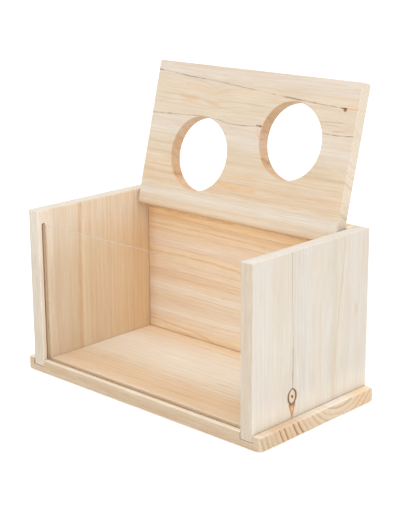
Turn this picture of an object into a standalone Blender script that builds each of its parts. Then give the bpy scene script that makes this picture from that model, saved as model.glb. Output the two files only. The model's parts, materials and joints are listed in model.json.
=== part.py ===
"""Hamster box: a small wooden case with a clear front pane and a hinged lid that has two round openings.

Metres, +Z up. The origin is the middle of the base board's underside, -Y is the front with the pane,
and the lid is modelled open, leaning back on the back panel.
"""

from math import acos, atan2, hypot, pi, radians

import bmesh
import bpy
from mathutils import Matrix, Vector

# ---------------------------------------------------------------- driving dimensions

BASE_LENGTH = 0.220
BASE_DEPTH = 0.116
BASE_THICKNESS = 0.010
BASE_OVERHANG = 0.0065
BASE_CORNER_RADIUS = 0.002
BASE_WORN_CORNER_RADIUS = 0.0045
BASE_ARRIS = 0.0016

CASE_HEIGHT = 0.119
SIDE_THICKNESS = 0.010
SIDE_ARRIS = 0.0011
HOUSING_DEPTH = 0.0052

BACK_THICKNESS = 0.010
BACK_ARRIS = 0.0005

PANE_THICKNESS = 0.002
PANE_ARRIS = 0.0002
PANE_SETBACK = 0.0034
GROOVE_DEPTH = 0.004

LID_THICKNESS = 0.0096
LID_ARRIS = 0.0009
LID_TAIL = 0.006
LID_TAIL_FLAT = 0.0012
LID_SIDE_GAP = 0.002
LID_RECESS = 0.0004
LID_OVERHANG = 0.001

HOLE_RADIUS = 0.0264
HOLE_SPACING = 0.0798
HOLE_PAIR_SHIFT = 0.0007
LEFT_HOLE_TAIL_MARGIN = 0.0168
RIGHT_HOLE_FRONT_MARGIN = 0.0179

PIN_RADIUS = 0.0015
PIN_CHAMFER = 0.0004
PIN_IN_LID = 0.010
PIN_IN_SIDE = 0.0055

NAIL_LENGTH = 0.030
NAIL_RADIUS = 0.001
NAIL_HEAD_RADIUS = 0.0021
NAIL_HEAD_THICKNESS = 0.0008
NAIL_POINT_LENGTH = 0.003
NAIL_TIP_RADIUS = 0.00025
NAIL_SINK = 0.0005
NAIL_END_MARGIN = 0.018

DOWEL_RADIUS = 0.003
DOWEL_CHAMFER = 0.0006
DOWEL_IN_SIDE = 0.006
DOWEL_IN_BACK = 0.014
DOWEL_END_MARGIN = 0.026

# ---------------------------------------------------------------- clearances

TOUCH_GAP = 0.0003
SWING_GAP = 0.0004
PANE_PLAY = 0.0012
GROOVE_TOP_GAP = 0.001

# ---------------------------------------------------------------- facets and cutters

ARRIS_FACETS = 3
FINE_ARRIS_FACETS = 2
CORNER_FACETS = 6
HOLE_FACETS = 48
BAR_FACETS = 16
NAIL_FACETS = 12
OVERCUT = 0.002

# ---------------------------------------------------------------- positions worked out from them

FRONT = -BASE_DEPTH / 2
REAR = BASE_DEPTH / 2
SIDE_OUTER = BASE_LENGTH / 2 - BASE_OVERHANG
SIDE_INNER = SIDE_OUTER - SIDE_THICKNESS
SIDE_MIDDLE = SIDE_OUTER - SIDE_THICKNESS / 2
HOUSING_FLOOR = BASE_THICKNESS - HOUSING_DEPTH
BACK_INNER = REAR - BACK_THICKNESS
BACK_MIDDLE = REAR - BACK_THICKNESS / 2

# The lid's rounded tail turns between its pins and the back panel, so its sweep sets the pins' distance.
LID_TAIL_RADIUS = (LID_THICKNESS - LID_TAIL_FLAT) / 2
TAIL_SWEEP = hypot(LID_TAIL - LID_TAIL_RADIUS, LID_TAIL_FLAT / 2) + LID_TAIL_RADIUS
PIVOT_Y = BACK_INNER - TAIL_SWEEP - SWING_GAP
PIVOT_Z = CASE_HEIGHT - LID_RECESS - LID_THICKNESS / 2
LID_HALF_WIDTH = SIDE_INNER - LID_SIDE_GAP
LID_FRONT = FRONT - LID_OVERHANG - PIVOT_Y
LID_UNDERSIDE = PIVOT_Z - LID_THICKNESS / 2

PANE_TOP = LID_UNDERSIDE - TOUCH_GAP
GROOVE_WIDTH = PANE_THICKNESS + PANE_PLAY
GROOVE_FRONT = FRONT + PANE_SETBACK
GROOVE_BACK = GROOVE_FRONT + GROOVE_WIDTH
GROOVE_END = SIDE_INNER + GROOVE_DEPTH
GROOVE_TOP = PANE_TOP + GROOVE_TOP_GAP
GROOVE_FLOOR = BASE_THICKNESS - GROOVE_DEPTH
PANE_BACK = GROOVE_BACK - TOUCH_GAP


def open_angle():
    """Angle past vertical at which the open lid's back face meets the rounded top arris of the back panel."""
    along = BACK_INNER + BACK_ARRIS - PIVOT_Y
    above = CASE_HEIGHT - BACK_ARRIS - PIVOT_Z
    face_distance = LID_THICKNESS / 2 + TOUCH_GAP + BACK_ARRIS
    return acos(face_distance / hypot(along, above)) - atan2(above, along)


OPEN_LEAN = open_angle()

# ---------------------------------------------------------------- scene set-up

for old_object in list(bpy.data.objects):
    bpy.data.objects.remove(old_object, do_unlink=True)


def new_collection(name):
    """Add an empty collection to the scene."""
    collection = bpy.data.collections.new(name)
    bpy.context.scene.collection.children.link(collection)
    return collection


PARTS = new_collection("hamster_box")
CUTTERS = new_collection("cutters")


def new_material(name, colour, roughness, metallic=0.0, transmission=0.0):
    """Make a Principled material of one plain colour."""
    material = bpy.data.materials.new(name)
    material.use_nodes = True
    shader = material.node_tree.nodes["Principled BSDF"]
    shader.inputs["Base Color"].default_value = (*colour, 1.0)
    shader.inputs["Roughness"].default_value = roughness
    shader.inputs["Metallic"].default_value = metallic
    shader.inputs["Transmission Weight"].default_value = transmission
    return material


# ---------------------------------------------------------------- modelling tools


def new_object(name, bm, collection, material=None):
    """Turn a bmesh into an object in one of the two collections."""
    mesh = bpy.data.meshes.new(name)
    bm.to_mesh(mesh)
    bm.free()
    thing = bpy.data.objects.new(name, mesh)
    collection.objects.link(thing)
    if material is None:
        thing.hide_render = True
        thing.display_type = "WIRE"
    else:
        mesh.materials.append(material)
    return thing


def box_mesh(low, high):
    """A bmesh box between two opposite corners."""
    low, high = Vector(low), Vector(high)
    bm = bmesh.new()
    size = Matrix.Diagonal((*(high - low), 1.0))
    bmesh.ops.create_cube(bm, size=1.0, matrix=Matrix.Translation((low + high) / 2) @ size)
    return bm


def round_edges(bm, radius, chosen):
    """Round the edges of a bmesh that the test picks from their two end points."""
    edges = [edge for edge in bm.edges if chosen(edge.verts[0].co, edge.verts[1].co)]
    bmesh.ops.bevel(
        bm,
        geom=edges,
        offset=radius,
        offset_type="OFFSET",
        segments=CORNER_FACETS,
        profile=0.5,
        affect="EDGES",
    )


def ease_arrises(thing, width, facets):
    """Take the sharp arrises off a board, leaving the facets of its round corners alone."""
    bevel = thing.modifiers.new("arrises", "BEVEL")
    bevel.width = width
    bevel.segments = facets
    bevel.limit_method = "ANGLE"
    bevel.angle_limit = radians(40)
    bevel.use_clamp_overlap = False


def cut(thing, cutter):
    """Take a cutter's volume out of a piece."""
    boolean = thing.modifiers.new(cutter.name, "BOOLEAN")
    boolean.operation = "DIFFERENCE"
    boolean.solver = "EXACT"
    boolean.object = cutter


def turned(name, profile, facets, collection, material=None):
    """Turn a profile of (radius, height) points, listed top to bottom, about the local Z axis."""
    bm = bmesh.new()
    points = [bm.verts.new((radius, 0.0, height)) for radius, height in profile]
    for upper, lower in zip(points, points[1:]):
        bm.edges.new((upper, lower))
    thing = new_object(name, bm, collection, material)
    screw = thing.modifiers.new("turned", "SCREW")
    screw.steps = facets
    screw.render_steps = facets
    screw.use_merge_vertices = True
    screw.merge_threshold = 0.00001
    screw.use_smooth_shade = material is not None
    return thing


def place(thing, location, direction):
    """Stand a turned piece at a point with its local Z axis along a direction."""
    thing.location = location
    thing.rotation_euler = Vector(direction).to_track_quat("Z", "Y").to_euler()


# ---------------------------------------------------------------- materials

PINE = new_material("pine", (0.80, 0.62, 0.42), 0.55)
PINE_LID = new_material("pine_lid", (0.82, 0.68, 0.50), 0.55)
ACRYLIC = new_material("clear_acrylic", (0.95, 0.97, 0.97), 0.05, transmission=1.0)
STEEL = new_material("bright_steel", (0.60, 0.60, 0.62), 0.35, metallic=1.0)
BEECH = new_material("beech_dowel", (0.72, 0.54, 0.36), 0.6)

# ---------------------------------------------------------------- base board


def make_base():
    """A board with rounded corners, a housing across it for each side panel, and a groove for the pane.
    The front right corner is sanded rounder than the other three."""
    bm = box_mesh((-BASE_LENGTH / 2, FRONT, 0.0), (BASE_LENGTH / 2, REAR, BASE_THICKNESS))
    round_edges(bm, BASE_WORN_CORNER_RADIUS, lambda a, b: abs(a.z - b.z) > BASE_THICKNESS / 2 and a.x > 0 > a.y)
    round_edges(bm, BASE_CORNER_RADIUS, lambda a, b: abs(a.z - b.z) > BASE_THICKNESS / 2 and not a.x > 0 > a.y)
    base = new_object("base_board", bm, PARTS, PINE)
    ease_arrises(base, BASE_ARRIS, ARRIS_FACETS)
    for side, sign in (("left", -1), ("right", 1)):
        across = sorted((sign * (SIDE_INNER - TOUCH_GAP), sign * (SIDE_OUTER + TOUCH_GAP)))
        low = (across[0], FRONT - OVERCUT, HOUSING_FLOOR)
        high = (across[1], REAR + OVERCUT, BASE_THICKNESS + OVERCUT)
        cut(base, new_object(f"housing_{side}", box_mesh(low, high), CUTTERS))
    low = (-GROOVE_END, GROOVE_FRONT, GROOVE_FLOOR)
    high = (GROOVE_END, GROOVE_BACK, BASE_THICKNESS + OVERCUT)
    cut(base, new_object("groove_base", box_mesh(low, high), CUTTERS))
    return base


# ---------------------------------------------------------------- side panels


def make_side(side, sign):
    """An upright board whose foot sits in the base's housing, with a stopped groove for the pane."""
    across = sorted((sign * SIDE_INNER, sign * SIDE_OUTER))
    low = (across[0], FRONT, HOUSING_FLOOR + TOUCH_GAP)
    panel = new_object(f"side_panel_{side}", box_mesh(low, (across[1], REAR, CASE_HEIGHT)), PARTS, PINE)
    ease_arrises(panel, SIDE_ARRIS, ARRIS_FACETS)
    across = sorted((sign * (SIDE_INNER - OVERCUT), sign * GROOVE_END))
    low = (across[0], GROOVE_FRONT, HOUSING_FLOOR - OVERCUT)
    bm = box_mesh(low, (across[1], GROOVE_BACK, GROOVE_TOP))
    round_edges(bm, GROOVE_WIDTH / 2 - TOUCH_GAP, lambda a, b: min(a.z, b.z) > CASE_HEIGHT / 2 and a.y == b.y)
    cut(panel, new_object(f"groove_{side}", bm, CUTTERS))
    return panel


# ---------------------------------------------------------------- back panel


def make_back():
    """A board between the side panels, standing on the base, level with the tops of the side panels."""
    half = SIDE_INNER - TOUCH_GAP
    bm = box_mesh((-half, BACK_INNER, BASE_THICKNESS + TOUCH_GAP), (half, REAR, CASE_HEIGHT))
    panel = new_object("back_panel", bm, PARTS, PINE)
    ease_arrises(panel, BACK_ARRIS, FINE_ARRIS_FACETS)
    return panel


# ---------------------------------------------------------------- front pane


def make_pane():
    """A clear sheet held in the grooves of the side panels and the base, just under the closed lid."""
    half = GROOVE_END - TOUCH_GAP
    low = (-half, PANE_BACK - PANE_THICKNESS, GROOVE_FLOOR + TOUCH_GAP)
    pane = new_object("front_pane", box_mesh(low, (half, PANE_BACK, PANE_TOP)), PARTS, ACRYLIC)
    ease_arrises(pane, PANE_ARRIS, FINE_ARRIS_FACETS)
    return pane


# ---------------------------------------------------------------- lid on its pins


def make_lid_pivot():
    """An empty on the hinge axis. Its children are laid out as in the closed lid, and it turns them open."""
    pivot = bpy.data.objects.new("lid_pivot", None)
    PARTS.objects.link(pivot)
    pivot.location = (0.0, PIVOT_Y, PIVOT_Z)
    pivot.rotation_euler = (-(pi / 2 + OPEN_LEAN), 0.0, 0.0)
    return pivot


def make_lid(pivot):
    """One board with a rounded tail behind its pins and two round openings, one near each long edge."""
    half = LID_THICKNESS / 2
    bm = box_mesh((-LID_HALF_WIDTH, LID_FRONT, -half), (LID_HALF_WIDTH, LID_TAIL, half))
    round_edges(bm, LID_TAIL_RADIUS, lambda a, b: min(a.y, b.y) > 0 and abs(a.x - b.x) > LID_HALF_WIDTH)
    lid = new_object("lid", bm, PARTS, PINE_LID)
    lid.parent = pivot
    left = (HOLE_PAIR_SHIFT - HOLE_SPACING / 2, LID_TAIL - LEFT_HOLE_TAIL_MARGIN - HOLE_RADIUS)
    right = (HOLE_PAIR_SHIFT + HOLE_SPACING / 2, LID_FRONT + RIGHT_HOLE_FRONT_MARGIN + HOLE_RADIUS)
    for side, centre in (("left", left), ("right", right)):
        bm = bmesh.new()
        bmesh.ops.create_cone(
            bm,
            cap_ends=True,
            segments=HOLE_FACETS,
            radius1=HOLE_RADIUS,
            radius2=HOLE_RADIUS,
            depth=LID_THICKNESS + 2 * OVERCUT,
            matrix=Matrix.Translation((*centre, 0.0)),
        )
        opening = new_object(f"opening_{side}", bm, CUTTERS)
        opening.parent = pivot
        cut(lid, opening)
    ease_arrises(lid, LID_ARRIS, FINE_ARRIS_FACETS)
    return lid


def bar_profile(radius, length, chamfer):
    """A round bar about its middle, with chamfered ends."""
    end = length / 2
    return (
        (0.0, end),
        (radius - chamfer, end),
        (radius, end - chamfer),
        (radius, chamfer - end),
        (radius - chamfer, -end),
        (0.0, -end),
    )


def make_pin(side, sign, pivot, lid, panel):
    """A steel pin fixed in the lid's edge, turning in a blind hole in the side panel."""
    inner = LID_HALF_WIDTH - PIN_IN_LID
    outer = SIDE_INNER + PIN_IN_SIDE
    middle = (sign * (inner + outer) / 2, 0.0, 0.0)
    length = outer - inner
    shape = bar_profile(PIN_RADIUS, length, PIN_CHAMFER)
    bore_shape = bar_profile(PIN_RADIUS + TOUCH_GAP, length + 2 * TOUCH_GAP, PIN_CHAMFER)
    pin = turned(f"pivot_pin_{side}", shape, BAR_FACETS, PARTS, STEEL)
    bore = turned(f"pin_bore_{side}", bore_shape, BAR_FACETS, CUTTERS)
    for thing in (pin, bore):
        place(thing, middle, (sign, 0.0, 0.0))
        thing.parent = pivot
    cut(lid, bore)
    cut(panel, bore)


# ---------------------------------------------------------------- nails up through the base


def nail_profile(clearance):
    """A nail standing on its head, whose face is at height 0; the clearance swells it into its own hole."""
    top = NAIL_LENGTH + clearance
    head = NAIL_HEAD_THICKNESS + clearance
    foot = 0.0 if clearance == 0 else -(NAIL_SINK + OVERCUT)
    return (
        (0.0, top),
        (NAIL_TIP_RADIUS + clearance, top),
        (NAIL_RADIUS + clearance, top - NAIL_POINT_LENGTH),
        (NAIL_RADIUS + clearance, head),
        (NAIL_HEAD_RADIUS + clearance, head),
        (NAIL_HEAD_RADIUS + clearance, foot),
        (0.0, foot),
    )


def make_nail(name, x, y, boards):
    """A nail driven up from the underside, its head sunk below the surface, and its hole in both boards."""
    nail = turned(name, nail_profile(0.0), NAIL_FACETS, PARTS, STEEL)
    hole = turned(f"{name}_hole", nail_profile(TOUCH_GAP), NAIL_FACETS, CUTTERS)
    for thing in (nail, hole):
        thing.location = (x, y, NAIL_SINK)
    for board in boards:
        cut(board, hole)


def make_nails(base, left, right, back):
    """Three nails into the foot of each side panel and three into the foot of the back panel."""
    for side, sign, panel in (("left", -1, left), ("right", 1, right)):
        reach = REAR - NAIL_END_MARGIN
        for number, y in enumerate((-reach, 0.0, reach), start=1):
            make_nail(f"nail_{side}_{number}", sign * SIDE_MIDDLE, y, (base, panel))
    reach = SIDE_INNER - NAIL_END_MARGIN
    for number, x in enumerate((-reach, 0.0, reach), start=1):
        make_nail(f"nail_back_{number}", x, BACK_MIDDLE, (base, back))


# ---------------------------------------------------------------- dowels between back and sides


def make_dowels(back, panels):
    """Two blind dowels join each end of the back panel to a side panel."""
    heights = (BASE_THICKNESS + DOWEL_END_MARGIN, CASE_HEIGHT - DOWEL_END_MARGIN)
    length = DOWEL_IN_SIDE + DOWEL_IN_BACK
    middle = SIDE_INNER + (DOWEL_IN_SIDE - DOWEL_IN_BACK) / 2
    for side, sign, panel in panels:
        for level, height in zip(("lower", "upper"), heights):
            shape = bar_profile(DOWEL_RADIUS, length, DOWEL_CHAMFER)
            hole_shape = bar_profile(DOWEL_RADIUS + TOUCH_GAP, length + 2 * TOUCH_GAP, DOWEL_CHAMFER)
            dowel = turned(f"dowel_{side}_{level}", shape, BAR_FACETS, PARTS, BEECH)
            hole = turned(f"dowel_{side}_{level}_hole", hole_shape, BAR_FACETS, CUTTERS)
            for thing in (dowel, hole):
                place(thing, (sign * middle, BACK_MIDDLE, height), (sign, 0.0, 0.0))
            cut(panel, hole)
            cut(back, hole)


# ---------------------------------------------------------------- assembly

base_board = make_base()
left_panel = make_side("left", -1)
right_panel = make_side("right", 1)
back_board = make_back()
make_pane()
lid_pivot = make_lid_pivot()
lid_board = make_lid(lid_pivot)
make_pin("left", -1, lid_pivot, lid_board, left_panel)
make_pin("right", 1, lid_pivot, lid_board, right_panel)
make_nails(base_board, left_panel, right_panel, back_board)
make_dowels(back_board, (("left", -1, left_panel), ("right", 1, right_panel)))
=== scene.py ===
import json
import math

import bmesh
import bpy
import numpy as np
from mathutils import Matrix, Vector


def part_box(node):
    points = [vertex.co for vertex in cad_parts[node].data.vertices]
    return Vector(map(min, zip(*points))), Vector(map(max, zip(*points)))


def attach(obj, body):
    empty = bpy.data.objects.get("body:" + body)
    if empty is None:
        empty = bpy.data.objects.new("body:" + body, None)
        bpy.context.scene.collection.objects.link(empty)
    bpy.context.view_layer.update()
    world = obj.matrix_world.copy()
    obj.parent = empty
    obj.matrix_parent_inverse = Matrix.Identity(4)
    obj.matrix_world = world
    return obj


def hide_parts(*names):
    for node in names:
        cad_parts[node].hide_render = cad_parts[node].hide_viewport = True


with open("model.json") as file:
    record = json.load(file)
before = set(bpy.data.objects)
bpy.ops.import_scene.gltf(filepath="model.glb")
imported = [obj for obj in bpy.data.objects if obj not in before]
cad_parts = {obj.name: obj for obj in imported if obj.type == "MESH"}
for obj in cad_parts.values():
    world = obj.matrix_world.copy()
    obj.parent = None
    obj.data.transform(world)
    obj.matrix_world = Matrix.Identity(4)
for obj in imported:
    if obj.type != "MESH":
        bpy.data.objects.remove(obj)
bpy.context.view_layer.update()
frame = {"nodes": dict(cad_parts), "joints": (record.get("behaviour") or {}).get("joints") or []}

# ------------------------------------------------------------------ base board
# A planed pine board, grain along its length, corners and arrises rounded on a sander. A housing is
# routed across it for the foot of each side panel, and a narrow groove along it for the pane.

BASE_CORNERS = (0.002, 0.0045, 0.002, 0.002)
BASE_ARRIS = 0.0016
HOUSING_DEPTH = 0.0052
HOUSING_GAP = 0.00045
JOINT_GAP = 0.0003
GROOVE_DEPTH = 0.004
WALL = 0.00008
PANE_PLAY = 0.0009
RIPPLE = 0.00004
RIM_FADE = 0.0016
BAND_ROWS = 4


def waves(points, length, seed):
    """A smooth field from 0 to 1: the mean of seven sine waves of about one length, in seeded directions."""
    chance = np.random.default_rng(seed)
    ways = chance.normal(size=(7, points.shape[-1]))
    ways /= np.linalg.norm(ways, axis=1, keepdims=True) * chance.uniform(0.6, 1.5, (7, 1))
    turns = points @ ways.T * (2 * np.pi / length) + chance.uniform(0, 2 * np.pi, 7)
    return 0.5 + 0.5 * np.sin(turns).mean(-1)


def grid_lines(*groups):
    """Sorts groups of grid positions into one run, without repeats."""
    return np.unique(np.round(np.concatenate(groups), 7))


def lines_across(length, edge, step):
    """Grid positions from 0 to length: equal turns of a quarter circle over each rounded edge, a step apart
    between them."""
    turn = np.linspace(0, np.pi / 2, 8)
    rim = edge * (1 - np.cos(turn))
    middle = np.linspace(edge, length - edge, max(2, round((length - 2 * edge) / step)) + 1)
    return grid_lines(rim, length - rim, middle)


def with_walls(lines, walls):
    """Adds five close grid lines through each groove wall, and drops the others that are near it."""
    far = np.all([abs(lines - wall) > 2.5 * WALL for wall in walls], axis=0)
    close = [wall + WALL * np.linspace(-1, 1, 5) for wall in walls]
    return grid_lines(lines[far], *close)


def corner_radius(u, v, wide, tall, corners):
    """The corner radius that holds at each point: one of four, taken by the quarter of the board it is in."""
    right, upper = u > wide / 2, v > tall / 2
    return np.where(upper, np.where(right, corners[3], corners[2]), np.where(right, corners[1], corners[0]))


def round_plan(u, v, wide, tall, corner):
    """Bends the square corners of a grid into quarter circles: in each corner square the point (a, b) goes to
    (a sqrt(1 - b b / 2), b sqrt(1 - a a / 2)), which takes the square's outline to the circle's."""
    a = np.clip((abs(u - wide / 2) - (wide / 2 - corner)) / corner, 0, 1)
    b = np.clip((abs(v - tall / 2) - (tall / 2 - corner)) / corner, 0, 1)
    u = u - np.sign(u - wide / 2) * corner * a * (1 - np.sqrt(1 - b * b / 2))
    v = v - np.sign(v - tall / 2) * corner * b * (1 - np.sqrt(1 - a * a / 2))
    return u, v


def inset(u, v, wide, tall, corner):
    """Distance of each point inside the outline, a rectangle with rounded corners."""
    a = abs(u - wide / 2) - (wide / 2 - corner)
    b = abs(v - tall / 2) - (tall / 2 - corner)
    outside = np.hypot(np.maximum(a, 0), np.maximum(b, 0))
    return np.maximum(corner - outside - np.minimum(np.maximum(a, b), 0), 0)


def roll(distance, radius):
    """Depth of a rounded arris below the face at a distance in from the edge: a quarter circle."""
    short = 1 - np.clip(distance / radius, 0, 1)
    return radius * (1 - np.sqrt(1 - short * short))


def put_mesh(name, points, quads, rim):
    """Makes a mesh object from whole arrays of points and four-cornered faces, with its rim attribute."""
    mesh = bpy.data.meshes.new(name)
    mesh.from_pydata(points.reshape(-1, 3).tolist(), [], quads.reshape(-1, 4).tolist())
    field = mesh.attributes.new("rim", "FLOAT", "POINT")
    field.data.foreach_set("value", np.asarray(rim, np.float32).ravel())
    bm = bmesh.new()
    bm.from_mesh(mesh)
    bmesh.ops.remove_doubles(bm, verts=bm.verts, dist=0.0000004)
    bmesh.ops.delete(bm, geom=[vert for vert in bm.verts if not vert.link_faces], context="VERTS")
    bm.to_mesh(mesh)
    bm.free()
    mesh.shade_smooth()
    mesh.set_sharp_from_angle(angle=math.radians(38))
    piece = bpy.data.objects.new(name, mesh)
    bpy.context.scene.collection.objects.link(piece)
    return piece


def board(name, low, high, axes, us, vs, corners, arris, seed, over=None, under=None):
    """A board as two height fields over one grid, closed by a band round the outline. Each face lies at the
    board's thickness less the rolled arris, a shallow sanding ripple and whatever is cut into it there."""
    low, high = np.array(low), np.array(high)
    axes = np.array(axes, float)
    ends = np.stack([low @ axes.T, high @ axes.T])
    start, size = ends.min(0), np.ptp(ends, axis=0)
    u, v = np.meshgrid(us, vs, indexing="ij")
    corner = corner_radius(u, v, size[0], size[1], corners)
    u, v = round_plan(u, v, size[0], size[1], corner)
    deep = inset(u, v, size[0], size[1], corner)
    spots = np.stack([u, v], -1)
    soft = arris * (0.72 + 0.5 * waves(spots, 0.021, seed))
    top = size[2] - roll(deep, soft) - RIPPLE * waves(spots, 0.034, seed + 1)
    bottom = roll(deep, soft) + RIPPLE * waves(spots, 0.034, seed + 2)
    if over is not None:
        top = np.minimum(top, size[2] - over(u, v))
    if under is not None:
        bottom = np.maximum(bottom, under(u, v))
    rows, columns = u.shape
    index = np.arange(rows * columns).reshape(rows, columns)
    loop = np.concatenate([index[:-1, 0], index[-1, :-1], index[:0:-1, -1], index[0, :0:-1]])
    share = np.linspace(0, 1, BAND_ROWS + 2)[1:-1, None]
    flat = [grid.ravel() for grid in (u, v, top, bottom)]
    band_w = flat[2][loop] * (1 - share) + flat[3][loop] * share
    band_u = np.repeat(flat[0][loop][None], BAND_ROWS, 0)
    band_v = np.repeat(flat[1][loop][None], BAND_ROWS, 0)
    local = np.concatenate([
        np.stack([flat[0], flat[1], flat[2]], -1),
        np.stack([flat[0], flat[1], flat[3]], -1),
        np.stack([band_u, band_v, band_w], -1).reshape(-1, 3),
    ])
    upper = np.stack([index[:-1, :-1], index[1:, :-1], index[1:, 1:], index[:-1, 1:]], -1).reshape(-1, 4)
    lower = upper[:, ::-1] + rows * columns
    first = 2 * rows * columns
    middle = first + np.arange(BAND_ROWS * loop.size).reshape(BAND_ROWS, -1)
    rings = np.concatenate([loop[None], middle, loop[None] + rows * columns])
    after = np.roll(rings, -1, axis=1)
    band = np.stack([rings[:-1], rings[1:], after[1:], after[:-1]], -1).reshape(-1, 4)
    rim = np.concatenate([np.exp(-deep.ravel() / RIM_FADE)] * 2 + [np.ones(BAND_ROWS * loop.size)])
    return put_mesh(name, (start + local) @ axes, np.concatenate([upper, lower, band]), rim)


def ramp_up(value, low, high):
    """Goes smoothly from 0 at low to 1 at high."""
    share = np.clip((value - low) / (high - low), 0, 1)
    return share * share * (3 - 2 * share)


base_low, base_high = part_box("base_board")
side_low, side_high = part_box("side_panel_right")
pane_low, pane_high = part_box("front_pane")
GROOVE_FRONT = pane_low.y - PANE_PLAY
GROOVE_BACK = pane_high.y + JOINT_GAP
GROOVE_FLOOR = pane_low.z - JOINT_GAP
inner_wall, outer_wall = side_low.x - JOINT_GAP, side_high.x + HOUSING_GAP
nail_boxes = [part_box(node) for node in frame["nodes"] if node.startswith("nail_")]
nail_spots = np.array([((low + high) / 2)[:2] for low, high in nail_boxes])
NAIL_HEAD = max(high.x - low.x for low, high in nail_boxes) / 2
NAIL_HOLE_DEPTH = 0.0014


def base_cuts(u, v):
    """Depth cut into the base's top face: the two housings across it, and the groove between them."""
    x, y = u + base_low.x, v + base_low.y
    housing = ramp_up(abs(x), inner_wall - WALL, inner_wall + WALL)
    housing *= 1 - ramp_up(abs(x), outer_wall - WALL, outer_wall + WALL)
    groove = ramp_up(y, GROOVE_FRONT - WALL, GROOVE_FRONT + WALL)
    groove *= 1 - ramp_up(y, GROOVE_BACK - WALL, GROOVE_BACK + WALL)
    groove *= 1 - ramp_up(abs(x), pane_high.x, pane_high.x + WALL)
    return np.maximum(housing * HOUSING_DEPTH, groove * (base_high.z - GROOVE_FLOOR))


def nail_holes(u, v):
    """Depth of the crushed round holes in the underside that the nail heads are punched into."""
    x, y = u + base_low.x, v + base_low.y
    reach = [np.hypot(x - spot[0], y - spot[1]) for spot in nail_spots]
    return NAIL_HOLE_DEPTH * (1 - ramp_up(np.min(reach, axis=0), NAIL_HEAD, NAIL_HEAD + 0.0005))


def with_nail_lines(lines, spots, start):
    """Adds close grid lines through each nail's place."""
    places = sorted({round(float(spot), 5) for spot in spots})
    close = [place - start + np.arange(-9, 10) * 0.0003 for place in places]
    far = np.all([abs(lines - group[9]) > 0.0029 for group in close], axis=0)
    return grid_lines(lines[far], *close)


housing_walls = [sign * wall - base_low.x for sign in (-1, 1) for wall in (inner_wall, outer_wall)]
groove_walls = [GROOVE_FRONT - base_low.y, GROOVE_BACK - base_low.y]
along_lines = lines_across(base_high.x - base_low.x, BASE_ARRIS, 0.0022)
across_lines = lines_across(base_high.y - base_low.y, BASE_ARRIS, 0.0022)
base = board(
    "base",
    base_low,
    base_high,
    ((1, 0, 0), (0, 1, 0), (0, 0, 1)),
    with_walls(with_nail_lines(along_lines, nail_spots[:, 0], base_low.x), housing_walls),
    with_walls(with_nail_lines(across_lines, nail_spots[:, 1], base_low.y), groove_walls),
    BASE_CORNERS,
    BASE_ARRIS,
    11,
    over=base_cuts,
    under=nail_holes,
)


class Value:
    """A number in a material's nodes. Sums on it add Math nodes, so shader maths reads as an expression."""

    def __init__(self, finish, socket):
        self.finish = finish
        self.socket = socket

    def math(self, operation, *others):
        inputs = dict(enumerate((self, *others)))
        return self.finish.node("ShaderNodeMath", {"operation": operation}, inputs)

    def __add__(self, other):
        return self.math("ADD", other)

    __radd__ = __add__

    def __mul__(self, other):
        return self.math("MULTIPLY", other)

    __rmul__ = __mul__

    def __sub__(self, other):
        return self.math("SUBTRACT", other)

    def __rsub__(self, other):
        return (self * -1.0) + other

    def __truediv__(self, other):
        return self.math("DIVIDE", other)

    def __rtruediv__(self, other):
        return self.finish.node("ShaderNodeMath", {"operation": "DIVIDE"}, {0: other, 1: self})

    def __abs__(self):
        return self.math("ABSOLUTE")

    def __pow__(self, other):
        return self.math("POWER", other)

    def fraction(self):
        return self.math("FRACT")

    def largest(self, other):
        return self.math("MAXIMUM", other)

    def smooth(self, low, high):
        """0 at low and 1 at high, with a soft start and end. High may be the lower number."""
        settings = {"interpolation_type": "SMOOTHSTEP"}
        inputs = {0: self, 1: min(low, high), 2: max(low, high), 3: float(low > high), 4: float(low < high)}
        return self.finish.node("ShaderNodeMapRange", settings, inputs)


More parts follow.
